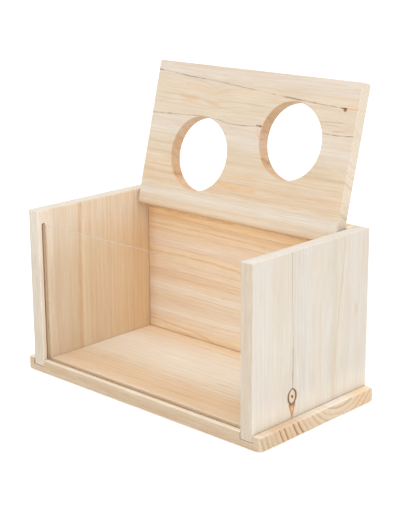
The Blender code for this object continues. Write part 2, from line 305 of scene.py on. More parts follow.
class Finish:
    """A material whose nodes are added one call at a time, all by the node method."""

    def __init__(self, name):
        self.material = bpy.data.materials.new(name)
        self.material.use_nodes = True
        self.tree = self.material.node_tree
        self.surface = self.tree.nodes["Principled BSDF"]

    def node(self, kind, settings=None, inputs=None, output=0):
        """Adds a node: its settings first, then its sockets by name or number, as values or links."""
        node = self.tree.nodes.new(kind)
        for key, setting in (settings or {}).items():
            if key == "stops":
                self.set_stops(node.color_ramp, setting)
            elif key == "points":
                self.set_points(node.mapping, setting)
            else:
                setattr(node, key, setting)
        for key, given in (inputs or {}).items():
            self.feed(node.inputs[key], given)
        return Value(self, node.outputs[output])

    def feed(self, socket, given):
        """Gives a socket a link from a Value, or a plain value."""
        if isinstance(given, Value):
            self.tree.links.new(given.socket, socket)
        else:
            socket.default_value = given

    @staticmethod
    def set_stops(ramp, stops):
        """Sets a colour ramp's stops, each a position and a colour."""
        ramp.interpolation = "EASE"
        while len(ramp.elements) < len(stops):
            ramp.elements.new(1.0)
        for element, (position, colour) in zip(ramp.elements, stops):
            element.position = position
            element.color = colour

    @staticmethod
    def set_points(mapping, points):
        """Sets the points of a curve that a Float Curve node follows."""
        curve = mapping.curves[0]
        while len(curve.points) < len(points):
            curve.points.new(0.5, 0.5)
        for point, (position, level) in zip(curve.points, points):
            point.location = (position, level)
        mapping.update()

    def vector(self, x, y, z):
        """A vector of three numbers."""
        return self.node("ShaderNodeCombineXYZ", None, {0: x, 1: y, 2: z})

    def noise(self, x, y, z, detail=2.0, roughness=0.5):
        """Noise from 0 to 1 whose grain is about one unit of each coordinate."""
        inputs = {"Vector": self.vector(x, y, z), "Scale": 1.0, "Detail": detail, "Roughness": roughness}
        return self.node("ShaderNodeTexNoise", None, inputs)

    def mix(self, factor, first, second, blend="MIX"):
        """A colour part way from the first to the second."""
        settings = {"data_type": "RGBA", "blend_type": blend}
        return self.node("ShaderNodeMix", settings, {0: factor, 6: first, 7: second}, output=2)

    def place(self):
        """The piece's own X, Y and Z in millimetres."""
        spot = self.node("ShaderNodeTexCoord", None, None, output="Object")
        parts = self.node("ShaderNodeSeparateXYZ", None, {0: spot})
        axes = [Value(self, parts.socket.node.outputs[axis]) for axis in range(3)]
        return [axis * 1000.0 for axis in axes]

    def facing(self, axis):
        """How squarely the surface faces along one of the piece's own directions, from 0 to 1."""
        outward = self.node("ShaderNodeTexCoord", None, None, output="Normal")
        settings = {"operation": "DOT_PRODUCT"}
        return abs(self.node("ShaderNodeVectorMath", settings, {0: outward, 1: axis}, output=1))

    def finished(self, colour, rough, relief, strength, distance):
        """Feeds the surface its colour, its roughness and its relief, and gives the material."""
        inputs = {"Strength": strength, "Distance": distance, "Height": relief}
        bump = self.node("ShaderNodeBump", None, inputs, output="Normal")
        for name, given in (("Base Color", colour), ("Roughness", rough), ("Normal", bump)):
            self.feed(self.surface.inputs[name], given)
        return self.material


def tone(red, green, blue):
    """A colour named by its eight-bit screen values, as the linear values that shaders take."""
    levels = np.array([red, green, blue]) / 255
    linear = np.where(levels < 0.04045, levels / 12.92, ((levels + 0.055) / 1.055) ** 2.4)
    return (*linear.tolist(), 1)


def grown_rings(finish, along, across, depth, heart, spacing, lean, wobble):
    """Growth rings as a solid pattern: the wobbling distance from the log's heart line over the rings'
    spacing. Each ring darkens slowly and ends sharply, and no two rings are equally strong."""
    drift = finish.noise(along / 230, across / 30, depth / 30, 1) - 0.5
    flutter = finish.noise(along / 60, across / 6, depth / 6, 2) - 0.5
    side = across - heart[0] + along * lean
    under = depth - heart[1]
    reach = (side * side + under * under) ** 0.5 + drift * (spacing * wobble) + flutter * (spacing * 0.35)
    count = reach / spacing
    share = count.fraction()
    late = share.smooth(0.45, 0.93) * share.smooth(1, 0.955)
    strength = finish.noise((count - share) * 3.7, 4.3, 8.1, 0).smooth(0.3, 0.75)
    return late * (strength * 0.8 + 0.2)


def drawn(finish, colour, along, across, stain, marks):
    """Draws grain lines of one stain over a colour. A mark is its width, its strength, how broken it is, and
    the (along, across) points of its curve in millimetres. The lines waver together, come and go, and fade
    at their ends. Gives the colour and the lines' own mask."""
    waver = finish.noise(along / 5, across / 3, 2.5, 2) - 0.5
    patchy = finish.noise(along / 6, across / 2, 7.5, 2).smooth(0.40, 0.62)
    deepest = None
    for width, strength, broken, points in marks:
        starts, ends = points[0][0], points[-1][0]
        low, high = min(level for _, level in points) - 1, max(level for _, level in points) + 1
        span, rise = ends - starts, high - low
        share = (along - starts) / span
        curve = [((place - starts) / span, (level - low) / rise) for place, level in points]
        height = finish.node("ShaderNodeFloatCurve", {"points": curve}, {"Value": share}) * rise
        gap = abs(across - height - low + waver * (width * 1.3 + 0.3))
        inside = abs(share - 0.5).smooth(0.5, 0.5 - min(0.4, 4 / abs(span)))
        kept = patchy * (broken * strength) + (1 - broken) * strength
        mask = gap.smooth(width * 2, width * 0.2) * inside * kept
        deepest = mask if deepest is None else deepest.largest(mask)
    return finish.mix(deepest, colour, stain), deepest


def wood_surface(finish, along, across, depth, end_axis, colour, rings, ring_tone, ring_amount=0.3,
                 streaks=0.3, fibres=0.3, flecks=0.3, end_tone=None, end_amount=0, end_ring_tone=None,
                 end_rings=0.3, cut=None):
    """Turns a wood's body colour into the finished surface: latewood, streaks, fibres, pores, end grain and
    sanded rims, the roughness that goes with them, and the relief of the fibres and of what is cut in."""
    end = finish.facing(end_axis).smooth(0.55, 0.9)
    if end_tone is not None:
        colour = finish.mix(end * end_amount, colour, end_tone)
        colour = finish.mix(rings * end * end_rings, colour, end_ring_tone or ring_tone, "MULTIPLY")
    colour = finish.mix(rings * (1 - end) * ring_amount, colour, ring_tone, "MULTIPLY")
    speck = finish.noise(along / 3, across / 0.42, depth / 0.42, 3, 0.7)
    colour = finish.mix(end * speck.smooth(0.42, 0.72) * 0.22, colour, tone(196, 168, 136), "MULTIPLY")
    cloud = finish.noise(along / 40, across / 13, depth / 13, 2)
    colour = finish.mix(cloud.smooth(0.35, 0.75) * 0.20, colour, tone(240, 226, 208), "MULTIPLY")
    streak = finish.noise(along / 110, across / 1.5, depth / 1.5, 2, 0.65)
    colour = finish.mix(streak.smooth(0.32, 0.72) * streaks, colour, tone(236, 212, 184), "MULTIPLY")
    fibre = finish.noise(along / 18, across / 0.36, depth / 0.36, 3, 0.62)
    colour = finish.mix(fibre.smooth(0.32, 0.70) * fibres, colour, tone(226, 204, 178), "MULTIPLY")
    pore = finish.noise(along / 2.6, across / 0.30, depth / 0.30, 1).smooth(0.66, 0.80)
    colour = finish.mix(pore * flecks, colour, tone(168, 130, 92), "MULTIPLY")
    rim = finish.node("ShaderNodeAttribute", {"attribute_name": "rim"}, None, output="Fac")
    worn = finish.noise(along / 9, across / 0.8, depth / 0.8, 3).smooth(0.40, 0.62)
    sanded = rim.smooth(0.30, 1) * worn
    colour = finish.mix(sanded * 0.14, colour, tone(206, 180, 150), "MULTIPLY")
    rough = 0.60 + fibre * 0.16 - rings * 0.10 + end * 0.14 + sanded * 0.08
    relief = fibre * 0.45 + streak * 0.25 - pore * 0.6 + rings * 0.30 + end * speck * 0.5
    relief = relief + finish.noise(along / 1, across / 0.5, depth / 0.5, 2) * 0.20
    if cut is not None:
        relief = relief - cut * 0.9
    finish.surface.inputs["IOR"].default_value = 1.42
    return finish.finished(colour, rough, relief, 0.6, 0.00012)


def tones_across(finish, across, stops):
    """A board's body colour: a ramp over its width. Each stop is its place in millimetres and its tone. The
    stops were fitted under the scene's own light, so they carry some painted light and shade.
    """
    start, stop = stops[0][0], stops[-1][0]
    span = [((place - start) / (stop - start), tone(*screen)) for place, *screen in stops]
    share = (across - start) / (stop - start)
    return finish.node("ShaderNodeValToRGB", {"stops": span}, {"Fac": share})


def in_slot(y):
    """The stretch of a board's width, in millimetres, that the pane's groove takes up."""
    front, rear = GROOVE_FRONT * 1000, GROOVE_BACK * 1000
    return y.smooth(front - 0.1, front) * y.smooth(rear + 0.25, rear + 0.15)


def base_wood():
    """Warm pine, flat-sawn: the log's heart lay above its right rear, so its ends show rings that slant more
    and more towards the front, and its faces show close lines in front and broad figure behind. Its groove
    carries painted shade with a painted highlight near its mouth, and its front face painted shade."""
    finish = Finish("base_pine")
    x, y, z = finish.place()
    wander = finish.noise(x / 90, y / 12, z / 12, 2) - 0.5
    colour = tones_across(finish, y + wander * 6, (
        (-60, 225, 217, 203), (-50, 228, 210, 188), (-40, 222, 198, 168), (-28, 225, 203, 175),
        (-18, 227, 213, 193), (-6, 233, 226, 212), (14, 239, 234, 225), (30, 239, 231, 218),
        (44, 240, 221, 192), (60, 240, 228, 203),
    ))
    deep = base_high.z * 1000 - z
    pane_end = pane_high.x * 1000
    # In the groove: a painted highlight near its mouth and painted shade towards its floor.
    slot = in_slot(y) * deep.smooth(5, 4.5) * abs(x).smooth(pane_end + 0.6, pane_end + 0.2)
    colour = finish.mix(slot * deep.smooth(0.05, 0.2), colour, tone(250, 232, 204))
    colour = finish.mix(slot * deep.smooth(0.7, 1), colour, tone(92, 60, 34))
    # The front face is darkened and greyed: painted shade.
    front = finish.facing((0, 1, 0)).smooth(0.5, 0.95) * y.smooth(-50, -56)
    colour = finish.mix(front * 0.8, colour, tone(186, 168, 142))
    rings = grown_rings(finish, x, y, z, (24, 34), 4, 0.010, 0.7)
    marks = [
        (0.45, 0.26, 0.7, ((-95, level), (0, level + bend), (95, level - bend)))
        for level, bend in ((-46.8, 0.2), (-37, -0.5), (-31, 0.6), (-24.5, -0.6), (-16.5, 0.8), (37, 0.8))
    ]
    colour, _ = drawn(finish, colour, x, y, tone(196, 140, 88), marks)
    colour, cut = drawn(finish, colour, x, y, tone(140, 98, 60), (
        (0.35, 0.5, 0.6, ((-73, -20.6), (-69, -21.8), (-62, -20.8))),
        (0.35, 0.4, 0.6, ((-72, -22.8), (-67, -23.8), (-63, -23))),
        (0.40, 0.4, 0.8, ((27, -7.2), (34, -7.6), (42, -7))),
        (0.45, 0.5, 0.4, ((-59, -36), (-57.4, -39), (-55.5, -42))),
    ))
    end_tone = finish.mix(y.smooth(-41, -44), tone(213, 194, 165), tone(202, 187, 161))
    return wood_surface(finish, x, y, z, (1, 0, 0), colour, rings, tone(214, 160, 104), ring_amount=0.18,
                        fibres=0.38, end_tone=end_tone, end_amount=0.7, end_ring_tone=tone(168, 116, 72),
                        end_rings=0.85, cut=cut)


base.data.materials.append(base_wood())
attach(base, "box")
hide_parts("base_board")

# ------------------------------------------------------------------ side panels
# Two upright pine boards, grain upright so that end grain shows on top. Each stands in a housing in the
# base, and carries on its inner face a stopped groove, left round at the top by the router bit.

SIDE_ARRIS = 0.0011
SIDE_CORNERS = (0.0009,) * 4
GROOVE_END_ROUND = (GROOVE_BACK - GROOVE_FRONT) / 2
GROOVE_TOP_GAP = 0.001
GROOVE_TOP = pane_high.z + GROOVE_TOP_GAP


def stopped_groove(u, v):
    """Depth of the pane's groove in a side panel: full depth inside an upright slot with a round top."""
    across = u + side_low.y - (GROOVE_FRONT + GROOVE_BACK) / 2
    above = np.maximum(v + side_low.z - (GROOVE_TOP - GROOVE_END_ROUND), 0)
    gap = np.hypot(across, above) - GROOVE_END_ROUND
    return GROOVE_DEPTH * (1 - ramp_up(gap, -WALL, WALL))


def panel_lines():
    """The grid of a side panel, close together at the groove's walls and over its round top."""
    walls = [wall - side_low.y for wall in (GROOVE_FRONT, GROOVE_BACK)]
    us = with_walls(lines_across(side_high.y - side_low.y, SIDE_ARRIS, 0.0015), walls)
    vs = lines_across(side_high.z - side_low.z, SIDE_ARRIS, 0.0015)
    slot = np.linspace(walls[0], walls[1], 26)[1:-1]
    arch = np.linspace(GROOVE_TOP - GROOVE_END_ROUND, GROOVE_TOP + 0.0002, 22) - side_low.z
    vs = vs[(vs < arch[0]) | (vs > arch[-1])]
    return grid_lines(us, slot), grid_lines(vs, arch)


panel_us, panel_vs = panel_lines()
upright_axes = ((0, 1, 0), (0, 0, 1), (1, 0, 0))
panels = {}
for side, node in (("left", "side_panel_left"), ("right", "side_panel_right")):
    cuts = {"over": stopped_groove} if side == "left" else {"under": stopped_groove}
    panels[side] = board(f"side_{side}", *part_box(node), upright_axes, panel_us, panel_vs,
                         SIDE_CORNERS, SIDE_ARRIS, 23 if side == "left" else 31, **cuts)
    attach(panels[side], "box")
    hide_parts(node)


def knotted(finish, colour, along, across, centre, half_wide, half_tall):
    """Draws a small tight knot: flame, rusty fringe, dark bark ring, pale wood inside it and a dark heart.
    The ring is a lens, half_wide (1 - |rise / half_tall|^2.5). Gives the colour and the ring's mask."""
    ragged = finish.noise(along / 1.7, across / 1.7, 5, 2) - 0.5
    side = across - centre[1]
    rise = along - centre[0]
    below = rise * -1
    flame_gap = abs(side + ragged * 0.5) - (below.smooth(14, 4) * 2.3 + 0.5)
    reach = below.smooth(3.2, 4.8) * below.smooth(17, 12)
    colour = finish.mix(flame_gap.smooth(0.7, -0.6) * reach * 0.75, colour, tone(222, 172, 112))
    colour = finish.mix(flame_gap.smooth(0.8, 0) * flame_gap.smooth(-1.7, -0.3) * reach * 0.65, colour,
                        tone(176, 108, 50))
    near_ring = below.smooth(8.6, 4.8) * below.smooth(3.2, 4.8)
    colour = finish.mix(flame_gap.smooth(0.6, -0.2) * near_ring * 0.6, colour, tone(112, 66, 30))
    height = abs(rise / half_tall)
    gap = abs(side + ragged * 0.5) - (1 - height ** 2.5) * half_wide
    fringe = gap.smooth(-2.1, -0.6) * gap.smooth(1.5, 0.2) * height.smooth(1.5, 0.9)
    colour = finish.mix(gap.smooth(0.2, -0.8) * height.smooth(1.02, 0.95) * 0.45, colour, tone(214, 190, 152))
    colour = finish.mix(fringe * 0.5, colour, tone(168, 116, 66))
    ring = gap.smooth(-1.3, -0.7) * gap.smooth(0.5, 0) * height.smooth(1.25, 0.85)
    colour = finish.mix(ring * 0.88, colour, tone(78, 48, 20))
    heart = (side * side * 1.2 + (rise + side * 0.4) ** 2 * 1.2) ** 0.5
    return finish.mix(heart.smooth(1.5, 0.8) * 0.9, colour, tone(48, 28, 12)), ring


def pale_panel_wood():
    """The right panel: very pale pine with faint upright lines, one dark ringed knot near its foot with the
    grain parted round it, and one slanting line. Its front and back edges are a little greyer: painted shade."""
    finish = Finish("side_pine_pale")
    x, y, z = finish.place()
    sway = (z - 24.5) / 15
    part = (y + 19.8) / 7
    across = y - (y + 19.8) / (1 + part * part + sway * sway) * 0.55
    wander = finish.noise(z / 120, across / 8, x / 8, 2) - 0.5
    colour = tones_across(finish, across + wander * 5, (
        (-60, 212, 206, 198), (-52, 210, 207, 200), (-44, 210, 206, 199), (-29, 209, 203, 192),
        (-12, 207, 204, 197), (5, 210, 205, 196), (15, 207, 203, 194), (27, 208, 203, 192),
        (40, 209, 205, 197), (60, 208, 203, 195),
    ))
    marks = [
        (0.4, 0.2, 0.8, ((4, level), (60, level + bend), (121, level - bend)))
        for level, bend in ((-47, 0.6), (-38.5, -0.8), (-29.5, -1.2), (-9.5, 1.4), (0.5, 0.8), (9, -0.4),
                            (37.5, 0.9), (51, -0.3))
    ]
    # Front and back edges a little greyer: painted shade.
    colour = finish.mix(finish.facing((0, 1, 0)).smooth(0.6, 0.95), colour, tone(237, 232, 224), "MULTIPLY")
    colour, _ = drawn(finish, colour, z, y, tone(196, 178, 152), marks)
    colour, _ = drawn(finish, colour, z, y, tone(206, 160, 124), (
        (0.75, 0.34, 0.35, ((6, 22.2), (30, 23.2), (55, 24.9), (75, 27), (95, 29.9), (121, 31.6))),
        (0.80, 0.34, 0.30, ((94, 30), (105, 30.9), (116, 31.5))),
        (0.90, 0.40, 0.20, ((33, -19.6), (37, -19.6), (43, -19.6))),
        (0.90, 0.40, 0.20, ((62, 45.4), (67, 45), (72.5, 44.7))),
    ))
    colour, cut = drawn(finish, colour, z, y, tone(140, 112, 82), (
        (0.34, 0.34, 0.30, ((29, -19.6), (45, -19.4), (62, -19.6), (90, -20.8), (121, -21.5))),
        (0.42, 0.55, 0.20, ((28, -19.7), (40, -19.5), (60, -19.5))),
        (0.35, 0.30, 0.80, ((88, -34.4), (92, -34), (95, -33.8))),
    ))
    outer = finish.facing((1, 0, 0)).smooth(0.6, 0.9)
    colour = finish.mix(outer * z.smooth(32, 12) * 0.5, colour, tone(232, 224, 210))
    colour, ring = knotted(finish, colour, z, y, (24.6, -19.9), 4.1, 5.7)
    rings = grown_rings(finish, z, across, x, (-30, 260), 4.6, 0, 0.5)
    return wood_surface(finish, z, across, x, (0, 0, 1), colour, rings, tone(222, 196, 166),
                        ring_amount=0.12, streaks=0.20, fibres=0.30, flecks=0.12,
                        end_tone=tone(223, 222, 218), end_amount=0.85, end_ring_tone=tone(228, 212, 190),
                        end_rings=0.3, cut=cut.largest(ring))


def warm_panel_wood():
    """The left panel: pine, pale at the front and warmer towards the back, with a broad orange line. The
    warmth towards the back is partly painted shade, its paler top is painted light, its groove has painted
    shade with a painted highlight near its mouth, and its front and back edges carry painted shade.
    """
    finish = Finish("side_pine_warm")
    x, y, z = finish.place()
    wander = finish.noise(z / 150, y / 6, x / 6, 2) - 0.5
    colour = tones_across(finish, y + wander * 3, (
        (-60, 226, 221, 210), (-54, 231, 217, 200), (-40, 219, 201, 176), (-27, 220, 201, 172),
        (-12, 227, 209, 179), (2, 229, 209, 179), (14, 230, 206, 172), (26, 230, 204, 168),
        (40, 232, 203, 163), (60, 225, 195, 153),
    ))
    colour = finish.mix(x.smooth(-99, -103) * 0.5, colour, tone(222, 213, 198))
    # Lighter towards the top: painted light.
    colour = finish.mix(z.smooth(72, 114) * 0.6, colour, tone(240, 234, 224))
    # In the groove: a painted highlight near its mouth and painted shade towards its floor.
    deep = abs(x) - side_low.x * 1000
    slot = in_slot(y) * deep.smooth(5, 4.5) * z.smooth(GROOVE_TOP * 1000 + 0.4, GROOVE_TOP * 1000 + 0.1)
    colour = finish.mix(slot * deep.smooth(0.05, 0.25), colour, tone(250, 232, 204))
    colour = finish.mix(slot * deep.smooth(1.7, 2.2), colour, tone(92, 60, 34))
    # Front and back edges a little greyer: painted shade.
    colour = finish.mix(finish.facing((0, 1, 0)).smooth(0.6, 0.95), colour, tone(224, 227, 229), "MULTIPLY")
    colour, _ = drawn(finish, colour, z, y, tone(236, 222, 196), (
        (0.5, 0.4, 0.3, ((0, -18.4), (60, -17.9), (121, -16.2))),
    ))
    marks = [
        (width, strength, 0.3, ((0, level), (60, level + bend), (121, level + lean)))
        for level, bend, lean, width, strength in (
            (-21.6, 0.5, 2.6, 1.6, 0.42), (-11, 0.6, 1.2, 0.4, 0.22), (8.4, 0.4, 1.6, 0.5, 0.26),
            (12.4, 0.3, 1.4, 0.35, 0.18), (31, 1.2, 3, 0.6, 0.30), (36, 0.8, 2.4, 0.5, 0.24))
    ]
    colour, _ = drawn(finish, colour, z, y, tone(206, 148, 88), marks)
    colour, cut = drawn(finish, colour, z, y, tone(150, 120, 84), (
        (0.25, 0.4, 0.3, ((46, -6.4), (51, -6.3), (57, -6.2))),
        (0.25, 0.4, 0.3, ((62, -48), (65, -48), (68, -47.9))),
    ))
    rings = grown_rings(finish, z, y, x, (30, -420), 5.4, 0, 0.3)
    return wood_surface(finish, z, y, x, (0, 0, 1), colour, rings, tone(220, 176, 126), ring_amount=0.16,
                        streaks=0.30, fibres=0.36, end_tone=tone(223, 222, 218), end_amount=0.9,
                        end_ring_tone=tone(228, 212, 190), end_rings=0.3, cut=cut)


panels["right"].data.materials.append(pale_panel_wood())
panels["left"].data.materials.append(warm_panel_wood())

# ------------------------------------------------------------------ back panel
# A warmer pine board between the side panels, grain along its length, level with their tops. It is
# doweled into them and nailed up through the base, and the open lid leans on its top front arris.

BACK_ARRIS = 0.0005
back_low, back_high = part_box("back_panel")
back = board(
    "back",
    back_low,
    back_high,
    ((1, 0, 0), (0, 0, 1), (0, -1, 0)),
    lines_across(back_high.x - back_low.x, BACK_ARRIS, 0.0016),
    lines_across(back_high.z - back_low.z, BACK_ARRIS, 0.0016),
    (BACK_ARRIS,) * 4,
    BACK_ARRIS,
    47,
)


def back_wood():
    """Orange-tinged pine with pale stripes along it. Its top is near white as painted light, and its left
    corner is darkened as painted shade.
    """
    finish = Finish("back_pine")
    x, y, z = finish.place()
    wander = finish.noise(x / 150, z / 7, y / 7, 2) - 0.5
    # The stops from 103 mm up grow near white: painted light that offsets the shade under the lid's tail.
    colour = tones_across(finish, z + wander * 2.4, (
        (8, 241, 217, 186), (14, 241, 224, 196), (20, 238, 224, 206), (26, 240, 232, 219),
        (32, 233, 217, 197), (38, 232, 216, 193), (44, 235, 226, 212), (52, 232, 212, 186),
        (62, 232, 214, 192), (72, 231, 212, 183), (80, 230, 215, 198), (88, 234, 214, 187),
        (95, 238, 214, 181), (103, 250, 220, 176), (110, 250, 250, 223), (120, 250, 249, 229),
    ))
    # On the rear face the upper part is mixed back towards a plain tone, keeping most of that painted light
    # off it.
    colour = finish.mix(y.smooth(50, 55) * z.smooth(86, 104) * 0.7, colour, tone(234, 216, 190))
    # Darker towards the left corner: painted shade where the back meets the left panel.
    colour = finish.mix(x.smooth(-82, -94) * 0.35, colour, tone(214, 178, 138), "MULTIPLY")
    marks = [
        (width, strength, 0.45, ((-95, level), (-40, level + bend), (20, level - bend), (95, level - 1)))
        for level, bend, width, strength in (
            (104.6, -0.6, 0.9, 0.46), (99, 0.4, 0.4, 0.22), (92.8, 0.4, 0.5, 0.34), (88.6, 0.3, 0.35, 0.22),
            (75, 1.4, 0.5, 0.24), (70.4, 1.2, 0.7, 0.36), (64, 0.6, 0.35, 0.22), (58, 0.5, 0.5, 0.28),
            (53, 0.6, 0.4, 0.22), (48.4, -0.3, 0.4, 0.22), (41.4, 0.2, 0.35, 0.28), (35.5, 0.3, 0.35, 0.20),
            (24.2, -0.5, 0.4, 0.30), (20.4, -0.4, 0.35, 0.22))
    ]
    marks += [
        (0.6, 0.40, 0.2, ((-95, 17.4), (-62, 15.8), (-38, 13.4), (-30, 11.4), (-25, 9.6))),
        (0.5, 0.28, 0.3, ((-80, 13.4), (-62, 12.4), (-44, 10.2))),
    ]
    colour, _ = drawn(finish, colour, x, z, tone(208, 146, 84), marks)
    colour, cut = drawn(finish, colour, x, z, tone(160, 124, 88), (
        (0.35, 0.3, 0.2, ((-19, 46.4), (-16.5, 46.8), (-14.5, 46.6))),
    ))
    rings = grown_rings(finish, x, z, y, (-40, 210), 6.3, 0.008, 0.5)
    return wood_surface(finish, x, z, y, (1, 0, 0), colour, rings, tone(220, 170, 112), ring_amount=0.20,
                        fibres=0.40, streaks=0.34, cut=cut)


back.data.materials.append(back_wood())
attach(back, "box")
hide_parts("back_panel")

# ------------------------------------------------------------------ lid
# One pine board, grain along its length, with two sawn openings. Its tail is rounded over on top so that
# it clears the back panel as it turns between the side panels, where a pin in each end holds it.

LID_THICKNESS = 0.0096
LID_ARRIS = 0.0009
LID_TAIL = 0.006
LID_TAIL_RADIUS = 0.0042
LID_TAIL_EDGE = 0.0016
LID_TAIL_CORNER = 0.0030
LID_FRONT_CORNER = 0.0012
LID_OVERHANG = 0.0009
OPENING_RADIUS = 0.0264
OPENING_RIM = 0.0006
OPENINGS = ((-0.0392, 0.0372), (0.0406, 0.0562))

hinge = next(joint for joint in frame["joints"] if joint["name"] == "lid_hinge")
hinge_spot = np.array(hinge["pos_m"], float)
lean = math.radians(hinge["range_deg"][1] - 90)
up_lid = np.array([0.0, math.sin(lean), math.cos(lean)])
out_lid = np.array([0.0, -math.cos(lean), math.sin(lean)])
lid_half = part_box("lid")[1].x
lid_reach = hinge_spot[1] - base_low.y + LID_OVERHANG


def lid_outline(x, y):
    """Rounds the lid's corners in plan, wider at the tail, and gives each point's distance inside it."""
    tall = lid_reach + LID_TAIL
    u, v = x + lid_half, y + LID_TAIL
    low = round_plan(u, v, 2 * lid_half, tall, LID_TAIL_CORNER)
    high = round_plan(u, v, 2 * lid_half, tall, LID_FRONT_CORNER)
    near_tail = v < tall / 2
    u, v = np.where(near_tail, low[0], high[0]), np.where(near_tail, low[1], high[1])
    corner = np.where(near_tail, LID_TAIL_CORNER, LID_FRONT_CORNER)
    return u - lid_half, v - LID_TAIL, inset(u, v, 2 * lid_half, tall, corner)


def lid_cell(x_low, x_high, centre, seed):
    """Half of the lid round one opening: a closed profile carried round the opening once. It runs up the
    opening's wall, over its rim, over the face to the board's edge, down the edge, and back underneath."""
    shared_left, shared_right = x_low > -lid_half, x_high < lid_half
    tall = lid_reach + LID_TAIL
    xs = lines_across(x_high - x_low, LID_ARRIS, 0.0012) + x_low
    ys = lines_across(tall, LID_ARRIS, 0.0012) - LID_TAIL
    edge_x = np.concatenate([xs[:-1], np.full(ys.size - 1, x_high), xs[:0:-1], np.full(ys.size - 1, x_low)])
    edge_y = np.concatenate([np.full(xs.size - 1, ys[0]), ys[:-1], np.full(xs.size - 1, ys[-1]), ys[:0:-1]])
    angle = np.arctan2(edge_y - centre[1], edge_x - centre[0])
    spokes = np.stack([np.cos(angle), np.sin(angle)], -1)
    turn = np.linspace(0, np.pi / 2, 11)
    saw = 1 + 0.0016 * waves(spokes, 0.9, seed) + 0.0012 * waves(spokes, 0.23, seed + 1)

    def ring(short):
        """The edge points moved in by the arris on the free sides and by the tail's round at the tail."""
        left = 0 if shared_left else LID_ARRIS * short
        right = 0 if shared_right else LID_ARRIS * short
        x = x_low + left + (edge_x - x_low) * (x_high - x_low - left - right) / (x_high - x_low)
        low, high = LID_TAIL_RADIUS * short, LID_ARRIS * short
        y = -LID_TAIL + low + (edge_y + LID_TAIL) * (tall - low - high) / tall
        return np.stack([x, y], -1)

    hole = OPENING_RADIUS * saw[:, None]
    wall = [np.array(centre) + spokes * hole] * 5
    rim = [np.array(centre) + spokes * (hole + OPENING_RIM * (1 - math.cos(t))) for t in turn]
    face = [rim[-1] * (1 - s) + ring(1.0) * s for s in np.linspace(0, 1, 24)[1:-1]]
    edge = [ring(1 - math.sin(t)) for t in turn]
    plan = np.array(wall[:1] + rim + face + edge)
    sunk = np.concatenate([[OPENING_RIM], OPENING_RIM * (1 - np.sin(turn)), np.zeros(len(face) + len(edge))])
    x, y, deep = lid_outline(plan[..., 0], plan[..., 1])
    from_tail = y + LID_TAIL
    spots = np.stack([x, y], -1)
    halves = []
    for tail_round in (LID_TAIL_EDGE, LID_TAIL_RADIUS):
        half = LID_THICKNESS / 2 - roll(from_tail, tail_round)
        arris = np.minimum(LID_ARRIS * (0.75 + 0.5 * waves(spots, 0.02, seed + 2)), 0.8 * half)
        halves.append(half - roll(deep, arris) - sunk[:, None] - RIPPLE * waves(spots, 0.03, seed + 3))
    front = np.stack([x, y, halves[0]], -1)
    rear = np.stack([x, y, -halves[1]], -1)[::-1]
    share = np.linspace(0, 1, BAND_ROWS + 2)[1:-1, None, None]
    outer = front[-1] * (1 - share) + rear[0] * share
    inner = rear[-1] * (1 - share) + front[0] * share
    sheet = np.concatenate([front, outer, rear, inner])
    rows, columns = sheet.shape[:2]
    index = np.arange(rows * columns).reshape(rows, columns)
    below, beside = np.roll(index, -1, axis=0), np.roll(index, -1, axis=1)
    quads = np.stack([index, below, np.roll(below, -1, axis=1), beside], -1)
    first_ring = 1 + len(rim) + len(face)
    outside = np.zeros(rows, bool)
    outside[first_ring:rows - BAND_ROWS - first_ring - 1] = True
    cut_x = x_low if shared_left else x_high
    on_cut = abs(edge_x - cut_x) < 0.000001
    gone = outside[:, None] & (on_cut & np.roll(on_cut, -1))[None]
    reach = np.linalg.norm(plan - np.array(centre), axis=-1)
    near = np.exp(-deep / RIM_FADE) + np.exp(-reach / RIM_FADE + OPENING_RADIUS / RIM_FADE)
    near = np.clip(near, 0, 1)
    outer_band, inner_band = np.repeat(near[-1:], BAND_ROWS, 0), np.repeat(near[:1], BAND_ROWS, 0)
    rim_value = np.concatenate([near, outer_band, near[::-1], inner_band])
    return sheet.reshape(-1, 3), quads[~gone], rim_value.ravel()


def lid_mesh():
    """Joins the two halves of the lid and stands them up on the hinge."""
    parts = [lid_cell(-lid_half, 0, OPENINGS[0], 61), lid_cell(0, lid_half, OPENINGS[1], 71)]
    local = np.concatenate([part[0] for part in parts])
    quads = np.concatenate([parts[0][1], parts[1][1] + len(parts[0][0])])
    rim = np.concatenate([part[2] for part in parts])
    axes = np.stack([np.array([1.0, 0.0, 0.0]), up_lid, out_lid])
    return put_mesh("lid_board", hinge_spot + local @ axes, quads, rim)


lid = lid_mesh()


